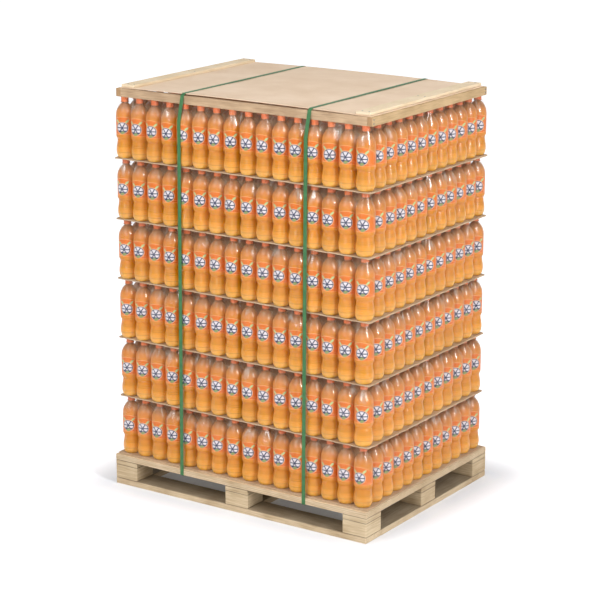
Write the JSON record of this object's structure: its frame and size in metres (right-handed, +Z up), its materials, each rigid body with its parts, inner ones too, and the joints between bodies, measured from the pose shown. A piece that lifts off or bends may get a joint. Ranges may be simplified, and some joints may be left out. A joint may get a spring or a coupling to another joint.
{
  "type": "strapped pallet load of bottled drinks",
  "caption": "Shrink-wrapped pallet load: layers of filled drink bottles on board pads, under a strapped timber top frame, on a wooden block pallet.",
  "frame": {"origin": "middle of the underside of the pallet, at floor level", "axes": "+Z up, +X along the long side of the pallet, +Y across it, away from the long side that the picture shows"},
  "size_m": [1.219, 0.9304, 1.6549],
  "materials": {
    "pallet_wood": "sawn, matte",
    "deck_panel": "plywood, matte",
    "pad_board": "matte",
    "filled_bottle": "clear bottle full of orange drink, glossy",
    "label_film": "printed film, satin",
    "cap_plastic": "satin",
    "inner_bottle": "glossy",
    "shrink_film": "clear, glossy",
    "side_rim_wood": "rough sawn, matte",
    "end_rim_wood": "planed, matte",
    "top_sheet_board": "matte",
    "slat_pine": "planed, matte",
    "strap_plastic": "satin, lightly ribbed"
  },
  "bodies": {
    "root": {"pallet_bottom_boards": "pallet_wood", "pallet_blocks": "pallet_wood", "pallet_block_tops": "pallet_wood", "pallet_deck": "deck_panel", "layer_pad_1": "pad_board", "layer_pad_2": "pad_board", "layer_pad_3": "pad_board", "layer_pad_4": "pad_board", "layer_pad_5": "pad_board", "layer_pad_6": "pad_board", "bottles_layer_1": "filled_bottle", "bottles_layer_2": "filled_bottle", "bottles_layer_3": "filled_bottle", "bottles_layer_4": "filled_bottle", "bottles_layer_5": "filled_bottle", "bottles_layer_6": "filled_bottle", "labels_layer_1": "label_film", "labels_layer_2": "label_film", "labels_layer_3": "label_film", "labels_layer_4": "label_film", "labels_layer_5": "label_film", "labels_layer_6": "label_film", "caps_layer_1": "cap_plastic", "caps_layer_2": "cap_plastic", "caps_layer_3": "cap_plastic", "caps_layer_4": "cap_plastic", "caps_layer_5": "cap_plastic", "caps_layer_6": "cap_plastic", "inner_bottles_layer_1": "inner_bottle", "inner_bottles_layer_2": "inner_bottle", "inner_bottles_layer_3": "inner_bottle", "inner_bottles_layer_4": "inner_bottle", "inner_bottles_layer_5": "inner_bottle", "inner_bottles_layer_6": "inner_bottle", "film_layer_1": "shrink_film", "film_layer_2": "shrink_film", "film_layer_3": "shrink_film", "film_layer_4": "shrink_film", "film_layer_5": "shrink_film", "film_layer_6": "shrink_film", "top_rim_front": "side_rim_wood", "top_rim_back": "side_rim_wood", "top_rim_left": "end_rim_wood", "top_rim_right": "end_rim_wood", "top_sheet": "top_sheet_board", "top_slat_left": "slat_pine", "top_slat_right": "slat_pine", "strap_left": "strap_plastic", "strap_right": "strap_plastic"}
  },
  "joints": []
}
